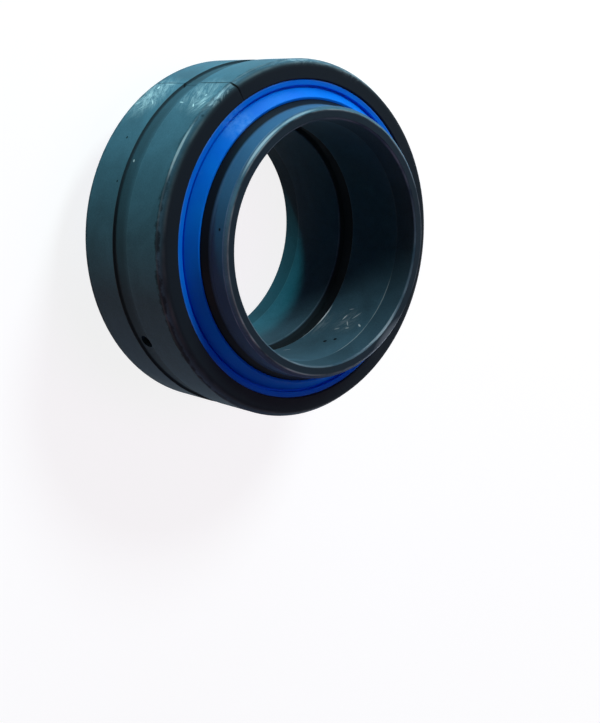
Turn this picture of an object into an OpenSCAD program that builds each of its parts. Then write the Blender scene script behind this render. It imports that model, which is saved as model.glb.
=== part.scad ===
// Spherical plain bearing with an extended inner ring and a snap-in seal at each side.
// A bored steel ball turns and tilts inside a steel outer ring that was fractured once to pass over it.
// The axis is +Z, the bearing stands on the lower end face of its inner ring, and sizes are in millimetres.

/* [Inner ring] */
// Bore diameter, for the shaft
bore_d = 50; // [46:0.5:52]
// Width of the inner ring along the axis
inner_w = 43; // [38:0.5:70]
// Diameter of the ball
ball_d = 66; // [65:0.5:68]
// Diameter of the cylindrical extension at each end of the ball
extension_d = 56; // [54:0.5:58]
// Edge break on the outside of each end face
extension_chamfer = 0.75; // [0.3:0.05:1]
// Fillet between the ball and the extension
extension_fillet = 0.3; // [0.1:0.05:0.4]
// Length of the tapered lead-in at each mouth of the bore
lead_in_length = 5.2; // [2:0.1:8]
// How far the lead-in opens the bore, on the radius
lead_in_depth = 0.3; // [0.1:0.05:0.6]
// Rounding of each mouth of the bore
mouth_radius = 0.4; // [0.2:0.05:0.8]

/* [Inner oil supply] */
// Width of the oil groove in the bore
bore_groove_w = 4.6; // [3:0.1:8]
// Depth of the oil groove in the bore
bore_groove_depth = 0.9; // [0.4:0.1:1.5]
// Number of oil holes from the bore to the ball
inner_oil_holes = 2; // [1:1:6]
// Diameter of the oil holes from the bore to the ball
inner_oil_hole_d = 2.5; // [1.5:0.1:4]
// Angle of the first of them around the axis
inner_oil_hole_angle = 90; // [0:1:359]

/* [Outer ring] */
// Outside diameter, for the housing
outer_d = 75; // [73:0.5:84]
// Width of the outer ring along the axis
outer_w = 28; // [22:0.5:31]
// Length of the lead-in chamfer at each end of the outside
chamfer_length = 1.75; // [1:0.05:4]
// Height of that chamfer, on the radius
chamfer_height = 1.1; // [0.2:0.05:1.6]
// Rounding between the chamfer and the side face
side_edge_radius = 1.1; // [0.3:0.05:1.2]

/* [Outer oil supply] */
// Width of the oil groove round the outside, at its top
outer_groove_w = 4.8; // [3.5:0.1:8]
// Slope of each wall of that groove, measured along the axis
outer_groove_slope = 0.3; // [0.2:0.05:1.6]
// Depth of the oil groove round the outside
outer_groove_depth = 0.55; // [0.5:0.05:1.5]
// Width of the oil groove in the raceway
race_groove_w = 3.6; // [3.2:0.1:6]
// Depth of the oil groove in the raceway
race_groove_depth = 0.6; // [0.3:0.1:1.2]
// Number of oil holes from the outside to the raceway
outer_oil_holes = 2; // [1:1:6]
// Diameter of the oil holes from the outside to the raceway
outer_oil_hole_d = 3; // [1.5:0.1:3.2]
// Angle of the first of them around the axis
outer_oil_hole_angle = 219.5; // [0:0.5:359]

/* [Fracture] */
// Angle of the fracture around the axis
fracture_angle = 127.8; // [0:0.1:359]
// Width of the hairline gap that the fracture leaves
fracture_gap = 0.12; // [0.06:0.02:0.4]
// How far the fracture wanders to either side
fracture_wander = 0.16; // [0:0.02:0.5]

/* [Seals] */
// Step from the ball's radius out to the seat of the seal
seal_seat_step = 0.35; // [0.1:0.05:1]
// Depth of the seal's seat below the side face
seal_seat_depth = 3.6; // [3.2:0.1:5]
// How far the snap bead reaches into the outer ring
seal_bead_height = 0.9; // [0.4:0.1:1.2]
// Width of the snap groove for the bead
seal_bead_w = 1.5; // [1:0.1:1.8]
// Distance from the floor of the seat up to the snap groove
seal_bead_offset = 0.8; // [0.4:0.1:1.2]
// How far the rim of the seal lies below the side face
seal_rim_recess = 0.36; // [0.1:0.02:0.8]
// Width of the rim of the seal, out to its seat
seal_rim_w = 1.2; // [0.8:0.05:1.6]
// Width of the moulded groove inside the rim
seal_line_w = 0.5; // [0.3:0.05:0.8]
// Depth of the moulded groove below the rim
seal_line_depth = 0.9; // [0.4:0.05:1.4]
// How far the lip stands out past the side face
seal_lip_rise = 1.35; // [0.6:0.05:2]
// Thickness of the lip at its edge
seal_lip_thickness = 0.5; // [0.3:0.05:0.9]
// Depth of the grease pocket between the two lips
seal_pocket_depth = 0.35; // [0.1:0.05:0.6]

/* [Fits] */
// Gap between the ball and the raceway
race_clearance = 0.05; // [0.02:0.01:0.1]
// Gap between a seal lip and the ball
lip_clearance = 0.05; // [0.02:0.01:0.1]
// Gap between a seal and its seat
seat_clearance = 0.05; // [0.02:0.01:0.1]

/* [Hidden] */
$fn = 180;

steel_colour = "#2c3639";
seal_colour = "#1766e0";

// Steps that draw one rounded corner
arc_steps = 6;
// Length by which a cutting shape runs past the face it cuts
overcut = 1;

// Radii and heights from the middle plane
bore_r = bore_d / 2;
ball_r = ball_d / 2;
extension_r = extension_d / 2;
outer_r = outer_d / 2;
inner_end = inner_w / 2;
side_face = outer_w / 2;
race_r = ball_r + race_clearance;
lip_r = ball_r + lip_clearance;
seat_r = ball_r + seal_seat_step;
seat_floor = side_face - seal_seat_depth;
lip_edge = side_face + seal_lip_rise;
lip_edge_r = sqrt(lip_r * lip_r - lip_edge * lip_edge);
// Outward direction of the ball's surface at the edge of the lip
lip_normal = [lip_edge_r, lip_edge] / lip_r;

// Small moulding and turning radii
groove_edge_radius = 0.25;
seal_edge_radius = 0.2;
// Lead-in edge over which a seal snaps into its seat
seat_chamfer = 0.2;
// How far the walls of the snap groove slope
bead_slope = 0.15;

// Points of the fracture across the ring
fracture_points = 9;
// Step of the angle that makes the fracture's path irregular
fracture_turn = 137;

function unit(v) = v / norm(v);

function turned(v, angle) = [
    v.x * cos(angle) - v.y * sin(angle),
    v.x * sin(angle) + v.y * cos(angle)
];

// Arc that rounds the corner p between its neighbours a and b
function corner_arc(a, p, b, radius) =
    let (
        to_a = unit(a - p),
        to_b = unit(b - p),
        half = acos(to_a * to_b) / 2,
        centre = p + unit(to_a + to_b) * radius / sin(half),
        start = p + to_a * radius / tan(half) - centre,
        sweep = (180 - 2 * half) * sign(cross(to_b, to_a))
    )
    [for (i = [0 : arc_steps]) centre + turned(start, sweep * i / arc_steps)];

// Outline through corners given as [r, z, rounding]
function rounded(corners) =
    let (n = len(corners))
    [
        for (i = [0 : n - 1])
        let (
            p = [corners[i][0], corners[i][1]],
            a = [corners[(i + n - 1) % n][0], corners[(i + n - 1) % n][1]],
            b = [corners[(i + 1) % n][0], corners[(i + 1) % n][1]],
            radius = corners[i][2]
        )
        each radius == 0 ? [p] : corner_arc(a, p, b, radius)
    ];

// A half outline from the middle plane upwards, followed by its mirror image below
function both_sides(upper) = concat(
    upper,
    [for (i = [len(upper) - 1 : -1 : 0]) [upper[i][0], -upper[i][1], upper[i][2]]]
);

// Round holes through the wall of a ring, spread evenly around it
module oil_holes(count, diameter, first_angle) {
    for (i = [0 : count - 1])
        rotate([0, 90, first_angle + i * 360 / count])
            cylinder(d = diameter, h = outer_r + overcut);
}

// Ball and extensions in half section, still without the bore
module ball_and_extensions() {
    // Centre of the fillet that runs from the ball to the extension
    fillet_r = extension_r + extension_fillet;
    fillet_z = sqrt(pow(ball_r + extension_fillet, 2) - fillet_r * fillet_r);
    on_ball = [fillet_r, fillet_z] * ball_r / (ball_r + extension_fillet);
    intersection() {
        circle(r = ball_r);
        translate([0, -on_ball.y])
            square([ball_r, 2 * on_ball.y]);
    }
    difference() {
        polygon(rounded(both_sides([
            [on_ball.x, on_ball.y, 0],
            [fillet_r, fillet_z, 0],
            [extension_r, fillet_z, 0],
            [extension_r, inner_end - extension_chamfer, 0],
            [extension_r - extension_chamfer, inner_end, 0],
            [0, inner_end, 0]
        ])));
        for (side = [-1, 1])
            translate([fillet_r, side * fillet_z])
                circle(r = extension_fillet);
    }
}

// Bore in half section: lead-ins, rounded mouths and oil groove
module bore_section() {
    groove_slope = bore_groove_depth;
    polygon(rounded(both_sides([
        [bore_r + bore_groove_depth, bore_groove_w / 2 - groove_slope, groove_edge_radius],
        [bore_r, bore_groove_w / 2, groove_edge_radius],
        [bore_r, inner_end - lead_in_length, 0],
        [bore_r + lead_in_depth, inner_end - mouth_radius, mouth_radius],
        [bore_r + lead_in_depth + mouth_radius, inner_end, 0],
        [bore_r + lead_in_depth + mouth_radius, inner_end + overcut, 0],
        [0, inner_end + overcut, 0]
    ])));
}

module inner_ring() {
    color(steel_colour)
        translate([0, 0, inner_end])
            difference() {
                rotate_extrude()
                    difference() {
                        ball_and_extensions();
                        bore_section();
                    }
                oil_holes(inner_oil_holes, inner_oil_hole_d, inner_oil_hole_angle);
            }
}

// Wall of a seal's seat, from the floor up to the snap groove and on to the rim, drawn in by a gap
function seat_wall(gap) =
    let (
        bead_r = seat_r + seal_bead_height - gap,
        wall_r = seat_r - gap,
        low = seat_floor + seal_bead_offset + gap,
        high = seat_floor + seal_bead_offset + seal_bead_w - gap
    )
    [
        [wall_r, seat_floor + gap, 0],
        [wall_r, low, 0],
        [bead_r, low + bead_slope, 0],
        [bead_r, high - bead_slope, 0],
        [wall_r, high, 0]
    ];

// Space that a seal takes out of the outer ring, in half section
module seat_section() {
    polygon(rounded(concat(
        [[bore_r, seat_floor, 0]],
        seat_wall(0),
        [
            [seat_r, side_face - seat_chamfer, 0],
            [seat_r + seat_chamfer, side_face, 0],
            [seat_r + seat_chamfer, side_face + overcut, 0],
            [bore_r, side_face + overcut, 0]
        ]
    )));
}

// Outside of the outer ring in half section: oil groove, lead-in chamfers and side faces
module outer_section() {
    polygon(rounded(both_sides([
        [outer_r - outer_groove_depth, outer_groove_w / 2 - outer_groove_slope, groove_edge_radius],
        [outer_r, outer_groove_w / 2, groove_edge_radius],
        [outer_r, side_face - chamfer_length, 0],
        [outer_r - chamfer_height, side_face, side_edge_radius],
        [bore_r, side_face, 0]
    ])));
}

// Thin wall along the irregular path of the fracture, cut through the ring from the middle outwards
module fracture_cut() {
    reach = side_face + overcut;
    path = [
        for (i = [0 : fracture_points - 1])
        [
            fracture_wander * sin(i * fracture_turn),
            -reach + 2 * reach * i / (fracture_points - 1)
        ]
    ];
    half_gap = [fracture_gap / 2, 0];
    rotate([0, 0, fracture_angle])
        rotate([90, 0, 90])
            linear_extrude(outer_r + overcut)
                polygon(concat(
                    [for (p = path) p + half_gap],
                    [for (i = [len(path) - 1 : -1 : 0]) path[i] - half_gap]
                ));
}

module outer_ring() {
    color(steel_colour)
        translate([0, 0, inner_end])
            difference() {
                rotate_extrude()
                    difference() {
                        outer_section();
                        circle(r = race_r);
                        translate([bore_r, -race_groove_w / 2])
                            square([race_r + race_groove_depth - bore_r, race_groove_w]);
                        seat_section();
                        mirror([0, 1])
                            seat_section();
                    }
                oil_holes(outer_oil_holes, outer_oil_hole_d, outer_oil_hole_angle);
                fracture_cut();
            }
}

// Seal in half section: snap bead, rim, moulded groove and lip on the outside, two lips towards the ball
module seal_section() {
    rim_top = side_face - seal_rim_recess;
    rim_r = seat_r - seat_clearance;
    line_r = rim_r - seal_rim_w;
    line_floor = rim_top - seal_line_depth;
    lip_top = [lip_edge_r, lip_edge] + lip_normal * seal_lip_thickness;
    // The end face of the lip is drawn on into the ball, which is then taken away
    lip_root = [lip_edge_r, lip_edge] - lip_normal * overcut;
    // Axial width of the lip by the floor of the seat
    heel_w = 0.9;
    // Axial width of the lip by its edge
    toe_w = 1.1;
    difference() {
        polygon(rounded(concat(
            [[bore_r, seat_floor + seat_clearance, 0]],
            seat_wall(seat_clearance),
            [
                [rim_r, rim_top, seal_edge_radius],
                [line_r, rim_top, seal_edge_radius],
                [line_r, line_floor, 0],
                [line_r - seal_line_w, line_floor, 0],
                [line_r - seal_line_w, rim_top - seal_rim_recess, seal_edge_radius],
                [lip_top.x, lip_top.y, seal_edge_radius],
                [lip_root.x, lip_root.y, 0]
            ]
        )));
        circle(r = lip_r);
        intersection() {
            circle(r = lip_r + seal_pocket_depth);
            translate([bore_r, seat_floor + heel_w])
                square([ball_r, lip_edge - toe_w - seat_floor - heel_w]);
        }
    }
}

module front_seal() {
    color(seal_colour)
        translate([0, 0, inner_end])
            rotate_extrude()
                seal_section();
}

module rear_seal() {
    color(seal_colour)
        translate([0, 0, inner_end])
            mirror([0, 0, 1])
                rotate_extrude()
                    seal_section();
}

outer_ring();
inner_ring();
front_seal();
rear_seal();
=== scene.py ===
# %% [markdown]
# # A spherical plain bearing, dressed for its portrait
# This lesson takes the finished solids of a spherical plain bearing and gives them their surfaces: black
# phosphated steel, blue moulded seals and the marks of handling. Then it sets a pale floor and soft light.
# The shapes come from the frame and stay as they are, so all the work here is on materials and light.

# %% Load the bearing
import math
import bpy
from mathutils import Matrix, Vector


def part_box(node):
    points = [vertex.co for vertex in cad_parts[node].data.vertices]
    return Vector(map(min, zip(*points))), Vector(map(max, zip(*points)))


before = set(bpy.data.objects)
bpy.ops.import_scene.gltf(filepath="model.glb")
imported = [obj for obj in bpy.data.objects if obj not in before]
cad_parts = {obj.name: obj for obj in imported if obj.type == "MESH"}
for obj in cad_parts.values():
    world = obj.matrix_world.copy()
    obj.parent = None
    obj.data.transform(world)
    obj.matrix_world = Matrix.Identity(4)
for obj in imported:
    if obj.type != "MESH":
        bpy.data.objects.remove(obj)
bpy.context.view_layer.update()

print("pieces:", sorted(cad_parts))

# %% [markdown]
# ## Measures that the finishes need
# Tool marks and wear follow the form: a ground land is smooth, a turned groove is dark, an edge rubs bright,
# and painted shade and highlights are placed on grooves and edges the same way.
# So the materials have to know where the edges are. The large sizes are read from the pieces themselves and
# can't disagree with the solids. The small ones are in millimetres, as on a workshop drawing, and heights are
# counted from the middle of the ball.

# %% Main sizes of the rings
MM = 0.001

ring_low, ring_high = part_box("outer_ring")
core_low, core_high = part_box("inner_ring")
OUTER_R = (ring_high.x - ring_low.x) / 2
SIDE_FACE = (ring_high.z - ring_low.z) / 2
BALL_R = (core_high.x - core_low.x) / 2
END_FACE = (core_high.z - core_low.z) / 2
CENTRE = Vector((0, 0, (core_low.z + core_high.z) / 2))

CHAMFER_START = SIDE_FACE - 1.75 * MM
OUTER_GROOVE_EDGE = 2.4 * MM
FRACTURE = 127.8
SEAT_R = BALL_R + 0.35 * MM
SNAP_GROOVE = 0.9 * MM
EXTENSION_R = 28 * MM
EXTENSION_CHAMFER = 0.75 * MM
BORE_R = 25 * MM
BORE_GROOVE_EDGE = 2.3 * MM
BORE_LEAD_IN = END_FACE - 5.2 * MM
print("outside radius", round(OUTER_R / MM, 2), "mm, ball radius", round(BALL_R / MM, 2), "mm")


def on_ring(radius, angle, height):
    """The point at a radius, an angle in degrees around the axis and a height from the ball's middle."""
    turn = math.radians(angle)
    return CENTRE + Vector((radius * math.cos(turn), radius * math.sin(turn), height))


# %% [markdown]
# ## The camera first
# The bearing is shown from its left front with its axis level. Here it stands on its end, so the same view
# comes from a camera above it that is rolled on its side. The eye, the point in the middle of the picture and
# the picture's upward direction were worked out from the ellipses that the rings make, and they are given
# from the centre of the ball.

# %% Place the camera
EYE = Vector((-183.6, 5.0, 213.1)) * MM
MIDDLE_OF_PICTURE = Vector((14.7, -27.6, 0)) * MM
PICTURE_UP = Vector((0, 0.9885, -0.1513))
FILM_WIDTH = 36
LENS = 64.02
NEAREST_SEEN = 10 * MM

camera = bpy.data.objects.new("camera", bpy.data.cameras.new("camera"))
bpy.context.scene.collection.objects.link(camera)
bpy.context.scene.camera = camera
forward = (MIDDLE_OF_PICTURE - EYE).normalized()
right = forward.cross(PICTURE_UP).normalized()
up = right.cross(forward)
aim = Matrix((right, up, -forward)).transposed().to_4x4()
camera.matrix_world = Matrix.Translation(CENTRE + EYE) @ aim
camera.data.sensor_width = FILM_WIDTH
camera.data.lens = LENS
camera.data.clip_start = NEAREST_SEEN
print("camera", round((MIDDLE_OF_PICTURE - EYE).length / MM), "mm from what it looks at")

# %% [markdown]
# ## Helpers for materials
# A colour is written as the hex value that a screen shows, but light adds up in linear numbers, so one
# function turns the first into the second. Another adds a shader node, sets it and links it, so a material
# reads from top to bottom like a recipe. An input may be a plain value, a socket, or a node, which means its
# first live output. The third starts a material with an empty page.

# %% Helpers for colour and nodes
def linear(hex_code):
    """Linear RGBA of an sRGB hex colour."""
    channels = [int(hex_code[i:i + 2], 16) / 255 for i in (1, 3, 5)]
    return tuple(c / 12.92 if c <= 0.04045 else ((c + 0.055) / 1.055) ** 2.4 for c in channels) + (1.0,)


def add(tree, kind, inputs=None, **settings):
    """Adds one node with its settings and inputs, found by name or identifier among its live sockets."""
    made = tree.nodes.new(kind)
    for name, value in settings.items():
        setattr(made, name, value)
    for name, value in (inputs or {}).items():
        socket = next(s for s in made.inputs if s.enabled and name in (s.identifier, s.name))
        if isinstance(value, bpy.types.Node):
            value = next(s for s in value.outputs if s.enabled)
        if isinstance(value, bpy.types.NodeSocket):
            tree.links.new(value, socket)
        else:
            socket.default_value = value
    return made


def new_material(name):
    """A material with an empty node tree."""
    material = bpy.data.materials.new(name)
    material.use_nodes = True
    tree = material.node_tree
    tree.nodes.clear()
    return material, tree


print("helpers ready")

# %% [markdown]
# ## Where on the ring a point lies
# Everything on a bearing was turned or ground about one axis, so a point's radius and height say which
# surface it is on and how a tool ran over it. One function works both out from the object's own coordinates,
# which travel with the piece when it moves. The lathe vector (radius, height) also draws tool marks: noise
# that reads only those two numbers has no choice but to run round the axis in rings.

# %% Radius and height of a point
def place_on_ring(tree):
    """Object coordinates, radius, height, unsigned height and the lathe vector of the shaded point."""
    place = add(tree, "ShaderNodeTexCoord").outputs["Object"]
    axes = add(tree, "ShaderNodeSeparateXYZ", {"Vector": place})
    flat = add(tree, "ShaderNodeCombineXYZ", {"X": axes.outputs["X"], "Y": axes.outputs["Y"]})
    radius = add(tree, "ShaderNodeVectorMath", {"Vector": flat}, operation="LENGTH")
    height = add(tree, "ShaderNodeMath", {"Value": axes.outputs["Z"], "Value_001": CENTRE.z},
                 operation="SUBTRACT")
    side = add(tree, "ShaderNodeMath", {"Value": height}, operation="ABSOLUTE")
    lathe = add(tree, "ShaderNodeCombineXYZ", {"X": radius, "Y": height})
    return place, radius, height, side, lathe


print("tool marks will follow the axis at", [round(v / MM, 1) for v in CENTRE], "mm")

# %% [markdown]
# ## Rubbed edges, scuffs, scratches, pits and painted highlights
# Wear could be painted by hand, but a painted map would have to be stored. Here each mark is a place and a
# reach: an edge is a circle given by its radius and height, a scuff is a patch of fine streaks that lie one
# way, a scratch is a single stroke and a pit is a small round spot. The same edges, patches and strokes also
# draw painted highlights and glints. Each function returns how strong its marks are at a point, from 0 to 1,
# and the material decides what a mark looks like.

# %% Rubbed edges, scuffs and painted highlights
EDGE_LINE_LENGTH = 7 * MM
STREAK_LENGTH = 4 * MM
STREAK_WIDTH = 0.9 * MM
# How deep below its point a mark reaches
SKIN = 3 * MM
# Values of the noise at which a mark begins and is full
EDGE_LINE_BEGINS = 0.35
EDGE_LINE_FULL = 0.7
STREAK_BEGINS = 0.42
STREAK_FULL = 0.68


def edge_lines(tree, place, radius, side, edges):
    """Strength of rubbing and of painted highlights along edges that are given as (radius, height, width of
    the line, strength).
    """
    section = add(tree, "ShaderNodeCombineXYZ", {"X": radius, "Y": side})
    edge_strength = 0.0
    for edge_r, edge_h, width, strength in edges:
        away = add(tree, "ShaderNodeVectorMath", {"Vector": section, "Vector_001": (edge_r, edge_h, 0)},
                   operation="DISTANCE")
        near = add(tree, "ShaderNodeMapRange",
                   {"Value": away, "From Min": width, "From Max": 0, "To Max": strength})
        edge_strength = add(tree, "ShaderNodeMath", {"Value": edge_strength, "Value_001": near}, operation="MAXIMUM")
    chance = add(tree, "ShaderNodeTexNoise", {"Vector": place, "Scale": 1 / EDGE_LINE_LENGTH, "Detail": 3})
    broken = add(tree, "ShaderNodeMapRange", {"Value": chance, "From Min": EDGE_LINE_BEGINS, "From Max": EDGE_LINE_FULL})
    return add(tree, "ShaderNodeMath", {"Value": edge_strength, "Value_001": broken}, operation="MULTIPLY")


def streaked_patches(tree, place, patches):
    """Strength of scuffed patches and painted glints, given as (radius, angle, height, slant, reach round,
    reach along, strength).
    """
    total = 0.0
    for radius, angle, height, slant, reach_round, reach_along, strength in patches:
        point = on_ring(radius, angle, height)
        facing = math.radians(angle)
        patch = add(tree, "ShaderNodeMapping",
                    {"Vector": place, "Location": point, "Rotation": (0, 0, facing),
                     "Scale": (SKIN, reach_round, reach_along)}, vector_type="TEXTURE")
        away = add(tree, "ShaderNodeVectorMath", {"Vector": patch}, operation="LENGTH")
        fade = add(tree, "ShaderNodeMapRange",
                   {"Value": away, "From Min": 1, "From Max": 0, "To Max": strength},
                   interpolation_type="SMOOTHSTEP")
        lie = add(tree, "ShaderNodeMapping",
                  {"Vector": place, "Location": point, "Rotation": (math.radians(slant), 0, facing),
                   "Scale": (SKIN, STREAK_LENGTH, STREAK_WIDTH)}, vector_type="TEXTURE")
        streaks = add(tree, "ShaderNodeTexNoise",
                      {"Vector": lie, "Scale": 1, "Detail": 7, "Roughness": 0.7, "Distortion": 0.9})
        streaks = add(tree, "ShaderNodeMapRange",
                      {"Value": streaks, "From Min": STREAK_BEGINS, "From Max": STREAK_FULL})
        mark = add(tree, "ShaderNodeMath", {"Value": fade, "Value_001": streaks}, operation="MULTIPLY")
        total = add(tree, "ShaderNodeMath", {"Value": total, "Value_001": mark}, operation="MAXIMUM")
    return total


print("rubs are broken every", EDGE_LINE_LENGTH / MM, "mm, scuffs are", STREAK_WIDTH / MM, "mm wide")

# %% Scratches and pits
# Share of a stroke's half width at which it reaches its full strength
STROKE_CORE = 0.5


def single_strokes(tree, place, strokes):
    """Strength of single strokes, given as (radius, angle, height, slant, length, width, strength).
    Slant 0 runs round the axis and 90 along it."""
    total = 0.0
    for radius, angle, height, slant, length, width, strength in strokes:
        stroke = add(tree, "ShaderNodeMapping",
                     {"Vector": place, "Location": on_ring(radius, angle, height),
                      "Rotation": (math.radians(slant), 0, math.radians(angle)),
                      "Scale": (SKIN, length / 2, width / 2)}, vector_type="TEXTURE")
        away = add(tree, "ShaderNodeVectorMath", {"Vector": stroke}, operation="LENGTH")
        fade = add(tree, "ShaderNodeMapRange",
                   {"Value": away, "From Min": 1, "From Max": STROKE_CORE, "To Max": strength})
        total = add(tree, "ShaderNodeMath", {"Value": total, "Value_001": fade}, operation="MAXIMUM")
    return total


def pits(tree, place, spots):
    """Strength of small round pits, given as (radius, angle, height, reach)."""
    total = 0.0
    for radius, angle, height, reach in spots:
        away = add(tree, "ShaderNodeVectorMath",
                   {"Vector": place, "Vector_001": on_ring(radius, angle, height)}, operation="DISTANCE")
        spot = add(tree, "ShaderNodeMapRange", {"Value": away, "From Min": reach, "From Max": reach / 2})
        total = add(tree, "ShaderNodeMath", {"Value": total, "Value_001": spot}, operation="MAXIMUM")
    return total


print("marks of wear ready")

# %% [markdown]
# ## Phosphated bearing steel
# Bearing rings are hardened, ground and then dipped in hot manganese phosphate. The dip leaves a thin crust
# of crystals that holds oil: nearly black, matt, and a slate teal where light falls on it. Ground lands show
# it thinnest. Turned grooves and side faces carry more of it and stay darker, and the same dark colour is
# also used for painted shade. A painted reflection of the blue seals tints the oiled extensions, and a lapped
# surface is darkest and smoothest. The crystals are about 0.01 mm across and the grinding lines finer still,
# too fine to show, so both are drawn some tens of times coarser. Where the crust is rubbed through, bare
# steel shows as a pale, half metallic mark, and the same pale mark is used for painted highlights and glints.

# %% Colours and grain of the phosphated crust
CRYSTAL = 0.35 * MM
CLOUD = 9 * MM
TOOL_MARK = 0.3 * MM
RELIEF = 0.02 * MM
CRYSTAL_SHARE = 0.35
# Values of the mixed noise that give the darkest and the palest speckle
SPECKLE_DARK = 0.36
SPECKLE_PALE = 0.64

LAND_DARK = "#405c6a"
LAND_PALE = "#4e6f80"
# Thick crust, also laid on as painted shade in the outer groove
CRUST_AND_SHADE = "#1f272c"
LAPPED = "#0f1822"
# Bare steel where the crust is rubbed through, also used for painted highlights and glints
BARE_STEEL_AND_GLINT = "#cbd8dc"
# Painted reflection of the blue seals on the oiled extensions
SEAL_BLUE_REFLECTION = "#34527a"
PIT_BLACK = "#0b0f11"

MATT_LEAST = 0.6
MATT_MOST = 0.72
LAPPED_ROUGHNESS = 0.35
BARE_AND_GLINT_ROUGHNESS = 0.42
BARE_AND_GLINT_METAL = 0.5
COAT_MIRROR = 0.03
print("phosphate crystals drawn", CRYSTAL / MM, "mm across")


# %% Surface of the phosphated crust
def phosphated_surface(tree, place, lathe, crust_and_shade, seal_reflection, lapped, wear_and_glints, pit):
    """Surface shader: crust_and_shade is where the coat is thick and where shade is painted, seal_reflection
    where the blue of the seals is painted as a reflection, lapped where it is polished, wear_and_glints where
    it is rubbed through and where highlights are painted, and pit where it is holed."""
    crystal = add(tree, "ShaderNodeTexNoise", {"Vector": place, "Scale": 1 / CRYSTAL, "Detail": 3})
    cloud = add(tree, "ShaderNodeTexNoise",
                {"Vector": place, "Scale": 1 / CLOUD, "Detail": 4, "Distortion": 0.6})
    lines = add(tree, "ShaderNodeTexNoise", {"Vector": lathe, "Scale": 1 / TOOL_MARK, "Detail": 2})
    speckle = add(tree, "ShaderNodeMix", {"Factor": CRYSTAL_SHARE, "A": cloud, "B": crystal})
    speckle = add(tree, "ShaderNodeMapRange",
                  {"Value": speckle, "From Min": SPECKLE_DARK, "From Max": SPECKLE_PALE})
    colour = add(tree, "ShaderNodeMix", {"Factor": speckle, "A": linear(LAND_DARK), "B": linear(LAND_PALE)},
                 data_type="RGBA")
    # The crust colour also lays painted shade, the seals' blue is a painted reflection, and bare steel also
    # lays painted highlights
    layers = [(crust_and_shade, CRUST_AND_SHADE), (seal_reflection, SEAL_BLUE_REFLECTION), (lapped, LAPPED), (wear_and_glints, BARE_STEEL_AND_GLINT), (pit, PIT_BLACK)]
    for strength, tone in layers:
        colour = add(tree, "ShaderNodeMix", {"Factor": strength, "A": colour, "B": linear(tone)},
                     data_type="RGBA")
    matt = add(tree, "ShaderNodeMapRange", {"Value": speckle, "To Min": MATT_LEAST, "To Max": MATT_MOST})
    satin = add(tree, "ShaderNodeMix", {"Factor": lapped, "A": matt, "B": LAPPED_ROUGHNESS})
    gloss = add(tree, "ShaderNodeMix", {"Factor": wear_and_glints, "A": satin, "B": BARE_AND_GLINT_ROUGHNESS})
    metal = add(tree, "ShaderNodeMath", {"Value": wear_and_glints, "Value_001": BARE_AND_GLINT_METAL}, operation="MULTIPLY")
    grain = add(tree, "ShaderNodeMix", {"Factor": 0.5, "A": crystal, "B": lines})
    relief = add(tree, "ShaderNodeMath", {"Value": grain, "Value_001": pit}, operation="SUBTRACT")
    bump = add(tree, "ShaderNodeBump", {"Strength": 0.5, "Distance": RELIEF, "Height": relief})
    shader = add(tree, "ShaderNodeBsdfPrincipled",
                 {"Base Color": colour, "Metallic": metal, "Roughness": gloss,
                  "Specular IOR Level": COAT_MIRROR, "Normal": bump})
    add(tree, "ShaderNodeOutputMaterial", {"Surface": shader})


print("crust ready for the rings")

# %% [markdown]
# ## Marks on the outer ring
# This ring has been handled. The lands are scuffed and scratched near the fracture, the edges beside them are
# rubbed, and oil has crept out of the fracture and darkened its line. Some rows are painted highlights and
# glints: on the chamfer near the fracture and at the top, and a bright line along the start of the chamfer on
# the upper left. The marks could sit inside the material, but as lists of places they are easier to read and
# to change. The far side has only faint scuffs.

# %% Places of the marks on the outer ring
OUTER_EDGES = [
    (OUTER_R, CHAMFER_START + 0.15 * MM, 0.3 * MM, 0.14),
    (OUTER_R, OUTER_GROOVE_EDGE + 0.1 * MM, 0.2 * MM, 0.05),
    (OUTER_R - 0.9 * MM, SIDE_FACE - 0.5 * MM, 0.5 * MM, 0.08),
]
OUTER_SCUFFS_AND_GLINTS = [
    (OUTER_R, 134.5, -8.8 * MM, 40, 8.5 * MM, 7 * MM, 0.8),
    (OUTER_R, 137, -9.5 * MM, -45, 7 * MM, 6 * MM, 0.6),
    (OUTER_R, 133.5, 7 * MM, 30, 7 * MM, 7.5 * MM, 0.5),
    (OUTER_R, 138, 10 * MM, -35, 4.5 * MM, 4 * MM, 0.75),
    # The next three rows are painted glints on the chamfer, near the fracture and at the top
    (OUTER_R - 0.4 * MM, 134, 13 * MM, 8, 7 * MM, 1.0 * MM, 0.9),
    (OUTER_R - 0.4 * MM, 98, 13 * MM, 10, 14 * MM, 1.2 * MM, 0.5),
    (OUTER_R - 0.6 * MM, 76, 13.3 * MM, 5, 12 * MM, 1.0 * MM, 0.5),
    (OUTER_R, 60, 5 * MM, -25, 9 * MM, 7 * MM, 0.16),
    (OUTER_R, 330, -6 * MM, 35, 9 * MM, 6 * MM, 0.14),
    (OUTER_R, 275, 7 * MM, 15, 11 * MM, 6 * MM, 0.13),
]
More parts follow.
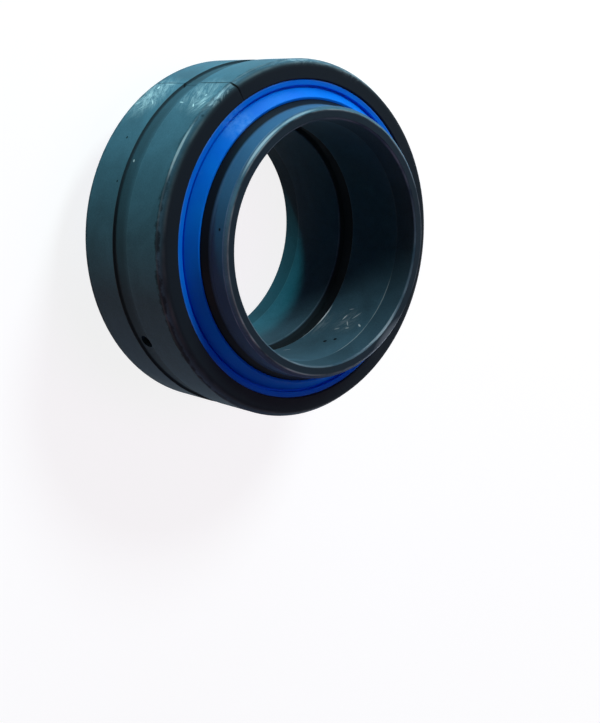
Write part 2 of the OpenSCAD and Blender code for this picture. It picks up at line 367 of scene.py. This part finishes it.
OUTER_SCRATCHES_AND_HIGHLIGHT = [
    (OUTER_R, 138, -6.3 * MM, 50, 3 * MM, 0.25 * MM, 0.8),
    (OUTER_R, 130.5, -9.5 * MM, 20, 1.4 * MM, 0.7 * MM, 0.9),
    (OUTER_R, 138.5, -11 * MM, -60, 2 * MM, 0.3 * MM, 0.7),
    (OUTER_R, 136, -10.4 * MM, -30, 3 * MM, 0.3 * MM, 0.6),
    (OUTER_R, 140.5, -8.5 * MM, -50, 2.5 * MM, 0.25 * MM, 0.6),
    (OUTER_R, 128.6, -7 * MM, 85, 5 * MM, 0.3 * MM, 0.45),
    (OUTER_R, 139.3, 8.2 * MM, 40, 1.6 * MM, 0.35 * MM, 0.9),
    (OUTER_R, 138.2, 10.6 * MM, -30, 1.8 * MM, 0.3 * MM, 0.8),
    (OUTER_R, 138, 3.6 * MM, 80, 1.8 * MM, 0.5 * MM, 0.5),
    (OUTER_R, 134.5, 9.2 * MM, 0, 0.7 * MM, 0.6 * MM, 0.7),
    (OUTER_R, 160, -1.2 * MM, 30, 0.8 * MM, 0.6 * MM, 0.7),
    # Painted highlight: a bright line along the start of the chamfer on the upper left
    (OUTER_R, 156, CHAMFER_START + 0.2 * MM, 0, 15 * MM, 0.6 * MM, 0.4),
]
OUTER_PITS = [
    (OUTER_R, 142.9, 13.2 * MM, 0.7 * MM),
    (OUTER_R, 152.5, -6.4 * MM, 0.35 * MM),
    (OUTER_R, 167.2, -3.7 * MM, 0.3 * MM),
]
FRACTURE_OIL = [
    (OUTER_R, FRACTURE, 8 * MM, 90, 12 * MM, 0.45 * MM, 0.6),
    (OUTER_R - 0.5 * MM, FRACTURE, 13.3 * MM, 90, 3 * MM, 0.8 * MM, 1.0),
    (OUTER_R, FRACTURE + 0.8, -2.2 * MM, 25, 1.5 * MM, 0.4 * MM, 0.8),
    (OUTER_R, FRACTURE, -8 * MM, 90, 11 * MM, 0.3 * MM, 0.35),
]
print("outer ring:", len(OUTER_SCUFFS_AND_GLINTS), "scuffs,", len(OUTER_SCRATCHES_AND_HIGHLIGHT), "single_strokes")

# %% [markdown]
# ## Painted shade in the groove, dark blots on the outer ring
# The oil groove gets painted shade, darkest against its rear wall and thinning out towards the front. Along
# the start of the chamfer the ring is darker in blots, strongest around one side of the ring. Each is worked
# out from a point's height, and noise makes the blots uneven.

# %% Painted shade in the groove, dark blots on the edge
GROOVE_WALL = 0.15 * MM
# Painted shade in the groove: its reach from the rear wall, its darkest and lightest strength, and where it
# fades out
GROOVE_SHADE_REACH = 0.6 * MM
GROOVE_SHADE_DEEPEST = 0.95
GROOVE_SHADE_LIGHTEST = 0.55
GROOVE_SHADE_FADES_FROM = 2.2 * MM
GROOVE_SHADE_FADES_PAST = 0.3 * MM

# Darker blots along the start of the chamfer, strongest around 205 degrees and weaker elsewhere
BLOT_LINE = CHAMFER_START + 0.1 * MM
BLOT_SIZE = 2.5 * MM
# Values of the noise that make a blot narrowest and widest
BLOT_LOW = 0.35
BLOT_HIGH = 0.65
BLOT_NARROW = 0.25 * MM
BLOT_WIDE = 1.3 * MM
BLOT_SOFT = 0.6 * MM
BLOT_STRENGTH = 0.9
BLOTS_STRONGEST = on_ring(OUTER_R, 205, SIDE_FACE)
BLOTS_NEAR = 12 * MM
BLOTS_FAR = 34 * MM
BLOTS_ELSEWHERE = 0.5


def painted_groove_shade(tree, height):
    """Strength of the painted shade in the oil groove, from its rear edge to just past its front edge."""
    rear = -OUTER_GROOVE_EDGE
    front = OUTER_GROOVE_EDGE
    wall = add(tree, "ShaderNodeMapRange",
               {"Value": height, "From Min": rear - GROOVE_WALL, "From Max": rear})
    shade_off_wall = add(tree, "ShaderNodeMapRange",
               {"Value": height, "From Min": rear, "From Max": rear + GROOVE_SHADE_REACH,
                "To Min": GROOVE_SHADE_DEEPEST, "To Max": GROOVE_SHADE_LIGHTEST}, interpolation_type="SMOOTHSTEP")
    fading = add(tree, "ShaderNodeMapRange",
                 {"Value": height, "From Min": front + GROOVE_SHADE_FADES_PAST, "From Max": rear + GROOVE_SHADE_FADES_FROM},
                 interpolation_type="SMOOTHSTEP")
    groove_shade = add(tree, "ShaderNodeMath", {"Value": shade_off_wall, "Value_001": fading}, operation="MULTIPLY")
    return add(tree, "ShaderNodeMath", {"Value": wall, "Value_001": groove_shade}, operation="MULTIPLY")


def dark_edge_blots(tree, place, side):
    """Strength of the dark blots along the start of the chamfer."""
    off_edge = add(tree, "ShaderNodeMath", {"Value": side, "Value_001": BLOT_LINE}, operation="SUBTRACT")
    off_edge = add(tree, "ShaderNodeMath", {"Value": off_edge}, operation="ABSOLUTE")
    blots = add(tree, "ShaderNodeTexNoise",
                {"Vector": place, "Scale": 1 / BLOT_SIZE, "Detail": 8, "Roughness": 0.65})
    reach = add(tree, "ShaderNodeMapRange",
                {"Value": blots, "From Min": BLOT_LOW, "From Max": BLOT_HIGH,
                 "To Min": BLOT_NARROW, "To Max": BLOT_WIDE})
    blot = add(tree, "ShaderNodeMath", {"Value": reach, "Value_001": off_edge}, operation="SUBTRACT")
    blot = add(tree, "ShaderNodeMapRange",
               {"Value": blot, "From Min": 0, "From Max": BLOT_SOFT, "To Max": BLOT_STRENGTH})
    away = add(tree, "ShaderNodeVectorMath", {"Vector": place, "Vector_001": BLOTS_STRONGEST},
               operation="DISTANCE")
    amount = add(tree, "ShaderNodeMapRange",
                 {"Value": away, "From Min": BLOTS_FAR, "From Max": BLOTS_NEAR, "To Min": BLOTS_ELSEWHERE},
                 interpolation_type="SMOOTHSTEP")
    return add(tree, "ShaderNodeMath", {"Value": blot, "Value_001": amount}, operation="MULTIPLY")


print("blots of grime about", BLOT_SIZE / MM, "mm long")

# %% [markdown]
# ## The outer ring
# Its outside is ground to fit a housing, so the two lands beside the oil groove are smooth and take the
# light. The side faces and the seats inside were only turned, and there the crust is thick and dark. One
# material does for the whole ring, because height and radius tell it which of these surfaces it is on.

# %% Finish of the outer ring
def phosphated_outer_ring():
    """Manganese-phosphated steel, ground on the lands and turned elsewhere: dark slate, matt and worn, with
    painted shade in the groove and painted highlights on the chamfer.
    """
    material, tree = new_material("phosphated_ground_outer_ring")
    place, radius, height, side, lathe = place_on_ring(tree)
    face = add(tree, "ShaderNodeMapRange", {"Value": side, "From Min": CHAMFER_START, "From Max": SIDE_FACE},
               interpolation_type="SMOOTHSTEP")
    inside = add(tree, "ShaderNodeMapRange",
                 {"Value": radius, "From Min": SEAT_R + SNAP_GROOVE, "From Max": SEAT_R})
    crust_and_shade = face
    # Painted shade in the groove is laid on in the crust's dark colour
    for layer in (painted_groove_shade(tree, height), dark_edge_blots(tree, place, side), inside):
        crust_and_shade = add(tree, "ShaderNodeMath", {"Value": crust_and_shade, "Value_001": layer}, operation="MAXIMUM")
    wear_and_glints = edge_lines(tree, place, radius, side, OUTER_EDGES)
    for marks in (streaked_patches(tree, place, OUTER_SCUFFS_AND_GLINTS), single_strokes(tree, place, OUTER_SCRATCHES_AND_HIGHLIGHT)):
        wear_and_glints = add(tree, "ShaderNodeMath", {"Value": wear_and_glints, "Value_001": marks}, operation="MAXIMUM")
    pit = add(tree, "ShaderNodeMath",
              {"Value": pits(tree, place, OUTER_PITS), "Value_001": single_strokes(tree, place, FRACTURE_OIL)},
              operation="MAXIMUM")
    phosphated_surface(tree, place, lathe, crust_and_shade, seal_reflection=0.0, lapped=0.0, wear_and_glints=wear_and_glints, pit=pit)
    return material


outer_finish = phosphated_outer_ring()
print(outer_finish.name, "has", len(outer_finish.node_tree.nodes), "nodes")

# %% [markdown]
# ## Marks on the inner ring
# A shaft pushed in and out has left scuffs, strokes and a couple of pits in the bore, most of them low on the
# right in the picture. The edges of the mouth, the groove and the end faces are rubbed, and brighter strokes
# on the edges low on the right and on the upper left are painted highlights. They are lists of places again.

# %% Places of the marks on the inner ring
INNER_RUBS_AND_HIGHLIGHTS = [
    # The rubs on the extension's front edge are set bright enough to be its painted highlight too
    (EXTENSION_R, END_FACE - EXTENSION_CHAMFER, 0.2 * MM, 0.2),
    (EXTENSION_R - EXTENSION_CHAMFER, END_FACE, 0.3 * MM, 0.4),
    (BORE_R + 0.4 * MM, END_FACE - 0.15 * MM, 0.4 * MM, 0.26),
    (BORE_R, BORE_LEAD_IN, 0.2 * MM, 0.12),
    (BORE_R, BORE_GROOVE_EDGE, 0.2 * MM, 0.15),
]
INNER_SCUFFS = [
    (BORE_R, 317, 10 * MM, 30, 5 * MM, 5 * MM, 0.3),
    (BORE_R, 312, 4 * MM, 0, 5 * MM, 2.5 * MM, 0.35),
    (BORE_R, 120, -8 * MM, 80, 6 * MM, 9 * MM, 0.25),
    (BORE_R, 200, 6 * MM, 80, 7 * MM, 9 * MM, 0.25),
]
INNER_SCRATCHES_AND_HIGHLIGHTS = [
    (BORE_R, 319.5, 8.6 * MM, 15, 1.9 * MM, 0.4 * MM, 1.0),
    (BORE_R, 316, 10.6 * MM, -45, 2.2 * MM, 0.3 * MM, 0.9),
    (BORE_R, 316, 14.4 * MM, -60, 1.5 * MM, 0.5 * MM, 1.0),
    (BORE_R, 321.5, 11.6 * MM, 35, 3 * MM, 0.25 * MM, 0.8),
    (BORE_R, 325, 9 * MM, 70, 1.6 * MM, 0.3 * MM, 0.5),
    (BORE_R, 312.9, 11.6 * MM, 70, 1.2 * MM, 0.5 * MM, 0.7),
    (BORE_R, 311.2, 9 * MM, 60, 1.6 * MM, 0.5 * MM, 0.5),
    (BORE_R, 284, 4.7 * MM, 30, 2 * MM, 0.3 * MM, 0.6),
    # From here on the rows are painted highlights where edges catch the light: the groove's front edge, the
    # lead-in, the mouth and the extension's front edge low on the right, and the extension's front edge on
    # the upper left
    (BORE_R, 317, BORE_GROOVE_EDGE + 0.15 * MM, 2, 8 * MM, 0.6 * MM, 1.0),
    (BORE_R, 306, BORE_GROOVE_EDGE + 0.1 * MM, 0, 8 * MM, 0.4 * MM, 0.5),
    (BORE_R, 332, BORE_LEAD_IN, 0, 16 * MM, 0.35 * MM, 0.45),
    (BORE_R, 306, BORE_LEAD_IN, 0, 16 * MM, 0.35 * MM, 0.35),
    (BORE_R + 0.3 * MM, 316, END_FACE - 0.35 * MM, 0, 20 * MM, 0.4 * MM, 0.3),
    (EXTENSION_R - 0.6 * MM, 317, END_FACE - 0.2 * MM, 0, 22 * MM, 0.5 * MM, 0.5),
    (EXTENSION_R - 0.3 * MM, 140, END_FACE - 0.35 * MM, 0, 18 * MM, 0.45 * MM, 0.4),
    (EXTENSION_R - 0.3 * MM, 118, END_FACE - 0.35 * MM, 0, 14 * MM, 0.45 * MM, 0.28),
]
INNER_PITS = [
    (BORE_R, 300.3, 9.6 * MM, 0.55 * MM),
    (BORE_R, 303.5, 11.5 * MM, 0.5 * MM),
    (EXTENSION_R, 178, 19.5 * MM, 0.4 * MM),
]
print("inner ring:", len(INNER_SCUFFS), "scuffs,", len(INNER_SCRATCHES_AND_HIGHLIGHTS), "single_strokes")

# %% [markdown]
# ## The inner ring
# The ball is ground and lapped, and the seal's lip keeps it wiped with grease, so it is the darkest and
# smoothest surface. The extensions are ground and oiled, and a painted reflection of the blue seals tints
# them. The bore is a ground land again, with a dark turned groove in its middle and lead-ins that are a
# little darker than the wall between them. The distance from the ball's middle picks out the ball, and radius
# and height pick out the rest.

# %% Finish of the inner ring
BALL_SKIN = 0.1 * MM
LAP_BEGINS = EXTENSION_R + 0.15 * MM
LAP_FULL = EXTENSION_R + 0.4 * MM
BORE_FLOOR = BORE_R + 1 * MM
BORE_LIMIT = BORE_R + 1.4 * MM
GROOVE_EDGE_SOFT = 0.3 * MM
END_SOFT = 0.2 * MM
END_CRUST = 0.88
# How far and how strongly the painted reflection of the blue seals covers the extensions
SEAL_REFLECTION_SOFT = 0.3 * MM
SEAL_REFLECTION_SHARE = 0.7
LEAD_IN_SOFT = 0.1 * MM
LEAD_IN_CRUST = 0.38


def phosphated_inner_ring():
    """Manganese-phosphated steel, lapped on the ball, oiled with a painted blue reflection on the extensions,
    ground in the bore, with painted highlights on some edges.
    """
    material, tree = new_material("phosphated_ground_inner_ring")
    place, radius, _, side, lathe = place_on_ring(tree)
    from_middle = add(tree, "ShaderNodeVectorMath", {"Vector": place, "Vector_001": CENTRE},
                      operation="DISTANCE")
    on_ball = add(tree, "ShaderNodeMath", {"Value": from_middle, "Value_001": BALL_R, "Value_002": BALL_SKIN},
                  operation="COMPARE")
    past_extension = add(tree, "ShaderNodeMapRange",
                         {"Value": radius, "From Min": LAP_BEGINS, "From Max": LAP_FULL})
    ball = add(tree, "ShaderNodeMath", {"Value": on_ball, "Value_001": past_extension}, operation="MULTIPLY")
    in_bore = add(tree, "ShaderNodeMapRange",
                  {"Value": radius, "From Min": BORE_LIMIT, "From Max": BORE_FLOOR})
    in_groove = add(tree, "ShaderNodeMapRange",
                    {"Value": side, "From Min": BORE_GROOVE_EDGE,
                     "From Max": BORE_GROOVE_EDGE - GROOVE_EDGE_SOFT})
    groove = add(tree, "ShaderNodeMath", {"Value": in_groove, "Value_001": in_bore}, operation="MULTIPLY")
    end = add(tree, "ShaderNodeMapRange",
              {"Value": side, "From Min": END_FACE - END_SOFT, "From Max": END_FACE, "To Max": END_CRUST})
    # Painted reflection of the blue seals on the outside of the extensions
    blue_reflection = add(tree, "ShaderNodeMapRange",
                  {"Value": radius, "From Min": EXTENSION_R - SEAL_REFLECTION_SOFT, "From Max": EXTENSION_R,
                   "To Max": SEAL_REFLECTION_SHARE})
    lead_in = add(tree, "ShaderNodeMapRange",
                  {"Value": side, "From Min": BORE_LEAD_IN - LEAD_IN_SOFT,
                   "From Max": BORE_LEAD_IN + LEAD_IN_SOFT, "To Max": LEAD_IN_CRUST})
    lead_in = add(tree, "ShaderNodeMath", {"Value": lead_in, "Value_001": in_bore}, operation="MULTIPLY")
    crust_and_shade = groove
    for layer in (end, lead_in):
        crust_and_shade = add(tree, "ShaderNodeMath", {"Value": crust_and_shade, "Value_001": layer}, operation="MAXIMUM")
    wear_and_glints = edge_lines(tree, place, radius, side, INNER_RUBS_AND_HIGHLIGHTS)
    for marks in (streaked_patches(tree, place, INNER_SCUFFS), single_strokes(tree, place, INNER_SCRATCHES_AND_HIGHLIGHTS)):
        wear_and_glints = add(tree, "ShaderNodeMath", {"Value": wear_and_glints, "Value_001": marks}, operation="MAXIMUM")
    pit = pits(tree, place, INNER_PITS)
    phosphated_surface(tree, place, lathe, crust_and_shade, seal_reflection=blue_reflection, lapped=ball, wear_and_glints=wear_and_glints, pit=pit)
    return material


inner_finish = phosphated_inner_ring()
print(inner_finish.name, "has", len(inner_finish.node_tree.nodes), "nodes")

# %% [markdown]
# ## The seals
# Each seal is injection-moulded from a blue polyurethane elastomer. The skin copies the mould: even, satin,
# and deep in colour, because little light is mirrored before it goes into the pigment. Dust makes it a little
# paler in places, and painted highlights make it paler on the upper left of the band and along the edge of
# the rim. The real grain of the mould is finer than a quarter of a millimetre and wouldn't show, so it is
# drawn that coarse.

# %% Moulded blue elastomer
MOULD_GRAIN = 0.25 * MM
DUST = 2.2 * MM
DUST_STRENGTH = 0.1
PIGMENT_CLOUD = 6 * MM
# A painted highlight on the band at the upper left, mottled by noise
SEAL_HIGHLIGHT = on_ring(30.8 * MM, 135, 14.6 * MM)
SEAL_HIGHLIGHT_REACH = 5 * MM
SEAL_HIGHLIGHT_CORE = 1 * MM
SEAL_HIGHLIGHT_STRENGTH = 0.65
HIGHLIGHT_MOTTLE = 1 * MM
# Values of the noise at which dust and the mottle of the painted highlight begin and are full
DUST_BEGINS = 0.6
DUST_FULL = 0.8
MOTTLE_BEGINS = 0.3
MOTTLE_FULL = 0.75
# A painted highlight along the outer edge of the rim
RIM_HIGHLIGHT_EDGES = [(SEAT_R - 0.1 * MM, SIDE_FACE - 0.4 * MM, 0.35 * MM, 0.7)]

SEAL_DEEP = "#0268da"
SEAL_BRIGHT = "#037ee4"
# Pale blue of dust and of the painted highlights
SEAL_DUST_AND_HIGHLIGHT = "#5fa6f4"
SATIN_LEAST = 0.3
SATIN_MOST = 0.5
SEAL_MIRROR = 0.06


def moulded_blue_elastomer():
    """Injection-moulded polyurethane: deep even blue, satin, paler where it is dusty and where highlights are
    painted.
    """
    material, tree = new_material("moulded_blue_polyurethane")
    place, radius, _, side, _ = place_on_ring(tree)
    cloud = add(tree, "ShaderNodeTexNoise", {"Vector": place, "Scale": 1 / PIGMENT_CLOUD, "Detail": 3})
    tone = add(tree, "ShaderNodeMix", {"Factor": cloud, "A": linear(SEAL_DEEP), "B": linear(SEAL_BRIGHT)},
               data_type="RGBA")
    dust = add(tree, "ShaderNodeTexNoise",
               {"Vector": place, "Scale": 1 / DUST, "Detail": 6, "Roughness": 0.7})
    dusty = add(tree, "ShaderNodeMapRange",
                {"Value": dust, "From Min": DUST_BEGINS, "From Max": DUST_FULL, "To Max": DUST_STRENGTH})
    away = add(tree, "ShaderNodeVectorMath", {"Vector": place, "Vector_001": SEAL_HIGHLIGHT}, operation="DISTANCE")
    highlight_spot = add(tree, "ShaderNodeMapRange",
                  {"Value": away, "From Min": SEAL_HIGHLIGHT_REACH, "From Max": SEAL_HIGHLIGHT_CORE, "To Max": SEAL_HIGHLIGHT_STRENGTH},
                  interpolation_type="SMOOTHSTEP")
    mottle = add(tree, "ShaderNodeTexNoise", {"Vector": place, "Scale": 1 / HIGHLIGHT_MOTTLE, "Detail": 3})
    mottle = add(tree, "ShaderNodeMapRange",
                 {"Value": mottle, "From Min": MOTTLE_BEGINS, "From Max": MOTTLE_FULL})
    mottled_highlight = add(tree, "ShaderNodeMath", {"Value": highlight_spot, "Value_001": mottle}, operation="MULTIPLY")
    rim_highlight = edge_lines(tree, place, radius, side, RIM_HIGHLIGHT_EDGES)
    # Dust, the painted highlight on the band and the painted highlight on the rim pale the blue
    dust_and_highlight = add(tree, "ShaderNodeMath", {"Value": dusty, "Value_001": mottled_highlight}, operation="MAXIMUM")
    dust_and_highlight = add(tree, "ShaderNodeMath", {"Value": dust_and_highlight, "Value_001": rim_highlight}, operation="MAXIMUM")
    colour = add(tree, "ShaderNodeMix", {"Factor": dust_and_highlight, "A": tone, "B": linear(SEAL_DUST_AND_HIGHLIGHT)},
                 data_type="RGBA")
    satin = add(tree, "ShaderNodeMapRange", {"Value": dust, "To Min": SATIN_LEAST, "To Max": SATIN_MOST})
    grain = add(tree, "ShaderNodeTexNoise", {"Vector": place, "Scale": 1 / MOULD_GRAIN, "Detail": 2})
    bump = add(tree, "ShaderNodeBump", {"Strength": 0.35, "Distance": RELIEF, "Height": grain})
    shader = add(tree, "ShaderNodeBsdfPrincipled",
                 {"Base Color": colour, "Roughness": satin, "Specular IOR Level": SEAL_MIRROR,
                  "Normal": bump})
    add(tree, "ShaderNodeOutputMaterial", {"Surface": shader})
    return material


seal_finish = moulded_blue_elastomer()
print(seal_finish.name, "has", len(seal_finish.node_tree.nodes), "nodes")

# %% [markdown]
# ## Put the finishes on
# The solids keep their meshes. Only the materials in their slots change.

# %% Assign the finishes
FINISHES = {
    "outer_ring": outer_finish,
    "inner_ring": inner_finish,
    "front_seal": seal_finish,
    "rear_seal": seal_finish,
}
for piece_name, finish in FINISHES.items():
    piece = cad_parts[piece_name]
    piece.data.materials.clear()
    piece.data.materials.append(finish)
    print(piece_name, "in", finish.name)

# %% [markdown]
# ## A pale floor
# The bearing stands on a sheet of pale paper that fills the picture. A sheet lit to pure white would need
# more light than the bearing should get. So for the camera, and in the metal, the paper glows almost white
# by itself, and the lamps add the rest near the bearing, which is what keeps a soft shadow there. Farther
# out the glow alone is white. To the light on its way the sheet is plain grey paper. It casts no shadow,
# because some of the lamps stand behind it.

# %% Lay the floor
FLOOR_RADIUS = 3
FLOOR_CORNERS = 96
FLOOR_GAP = 0.05 * MM
GLOW_NEAR = 0.85
LIT_SHARE = 0.28
# Distances from the axis, in metres, between which the paper goes over to glowing alone
NEAR = 0.1
FAR = 0.45
PAPER_BOUNCE = "#7c7c7c"


def seen_directly(tree):
    """1 for what the camera sees, straight or in a mirror or through glass, and 0 for light on its way."""
    path = add(tree, "ShaderNodeLightPath")
    seen = add(tree, "ShaderNodeMath",
               {"Value": path.outputs["Is Camera Ray"], "Value_001": path.outputs["Is Glossy Ray"]},
               operation="MAXIMUM")
    return add(tree, "ShaderNodeMath", {"Value": seen, "Value_001": path.outputs["Is Transmission Ray"]},
               operation="MAXIMUM")


def pale_paper():
    """Matt paper that glows towards the camera and in mirrors, and keeps a shadow near the bearing."""
    material, tree = new_material("pale_paper")
    seen = seen_directly(tree)
    place = add(tree, "ShaderNodeTexCoord").outputs["Object"]
    away = add(tree, "ShaderNodeVectorMath", {"Vector": place}, operation="LENGTH")
    far = add(tree, "ShaderNodeMapRange", {"Value": away, "From Min": NEAR, "From Max": FAR},
              interpolation_type="SMOOTHSTEP")
    lit = add(tree, "ShaderNodeMix",
              {"Factor": far, "A": (LIT_SHARE, LIT_SHARE, LIT_SHARE, 1), "B": (0, 0, 0, 1)}, data_type="RGBA")
    tone = add(tree, "ShaderNodeMix", {"Factor": seen, "A": linear(PAPER_BOUNCE), "B": lit}, data_type="RGBA")
    level = add(tree, "ShaderNodeMapRange", {"Value": far, "To Min": GLOW_NEAR, "To Max": 1})
    level = add(tree, "ShaderNodeMath", {"Value": level, "Value_001": seen}, operation="MULTIPLY")
    sheet = add(tree, "ShaderNodeBsdfDiffuse", {"Color": tone})
    glow = add(tree, "ShaderNodeEmission", {"Strength": level})
    paper = add(tree, "ShaderNodeAddShader", {"Shader": sheet, "Shader_001": glow})
    add(tree, "ShaderNodeOutputMaterial", {"Surface": paper})
    return material


bpy.ops.mesh.primitive_circle_add(vertices=FLOOR_CORNERS, radius=FLOOR_RADIUS, fill_type="NGON",
                                  location=(0, 0, -FLOOR_GAP))
floor = bpy.context.object
floor.name = "paper_floor"
floor.visible_shadow = False
floor.data.materials.append(pale_paper())
print("floor", 2 * FLOOR_RADIUS, "m across")

# %% [markdown]
# ## Soft light
# Seven round lamps light the bearing. A broad, cool one above the picture does most of the work, as a window
# does, and a hazy one in front opens the side faces. A small sea-green one behind the upper left reaches the
# rear of the bore. Weak ones in violet, warm red and blue keep the seal and the shaded side readable, and a
# plain one lights the side that the picture doesn't show. White lamps alone would leave dark steel grey. A
# lamp's level is what it does to a white sheet that faces it: 1 is white. The world is white to look at and
# dim as a light.

# %% Set the lamps
COOL = (0.72, 1.0, 1.1)
SEA_GREEN = (0.12, 1.0, 1.0)
WARM = (1.0, 0.45, 0.3)
BLUE = (0.4, 0.4, 1.0)
VIOLET = (1.0, 0.35, 1.0)
HAZE = (0.8, 1.0, 1.0)
PLAIN = (1.0, 0.97, 0.95)

# Name, direction from the ball, distance and size in metres, level and tint
LAMPS = [
    ("overhead", (0, 1, -0.05), 0.6, 0.5, 1.05, COOL),
    ("rear_window", (-0.45, 0.89, -0.265), 0.7, 0.06, 0.42, SEA_GREEN),
    ("front", (0.08, 0.75, 0.66), 0.7, 0.2, 0.58, HAZE),
    ("front_fill", (0.1, 0.1, 0.98), 0.7, 0.3, 0.13, VIOLET),
    ("left_fill", (-0.8, -0.6, -0.08), 0.7, 0.4, 0.2, WARM),
    ("low_fill", (-0.1, -0.98, 0.15), 0.7, 0.4, 0.05, BLUE),
    ("far_side", (1, 0, 0), 0.6, 0.4, 0.6, PLAIN),
]


def soft_lamp(name, towards, distance, size, level, tint):
    """A round area lamp in a direction from the ball, at a level where 1 turns a white sheet white."""
    lamp = bpy.data.objects.new(name, bpy.data.lights.new(name, "AREA"))
    bpy.context.scene.collection.objects.link(lamp)
    towards = Vector(towards).normalized()
    lamp.location = CENTRE + towards * distance
    lamp.rotation_mode = "QUATERNION"
    lamp.rotation_quaternion = towards.to_track_quat("Z", "Y")
    lamp.data.shape = "DISK"
    lamp.data.size = size
    lamp.data.energy = level * math.pi ** 2 * distance ** 2
    lamp.data.color = tint
    lamp.visible_camera = False
    print(name, "lamp:", round(lamp.data.energy, 2), "W")


for lamp_row in LAMPS:
    soft_lamp(*lamp_row)

# %% Light up the world
WORLD_LEVEL = 0.02

world = bpy.data.worlds.new("studio")
bpy.context.scene.world = world
world.use_nodes = True
sky = world.node_tree
sky.nodes.clear()
strength = add(sky, "ShaderNodeMapRange", {"Value": seen_directly(sky), "To Min": WORLD_LEVEL, "To Max": 1})
background = add(sky, "ShaderNodeBackground", {"Color": (1, 1, 1, 1), "Strength": strength})
add(sky, "ShaderNodeOutputWorld", {"Surface": background})
bpy.context.scene.view_settings.view_transform = "Standard"
print("world level", WORLD_LEVEL)
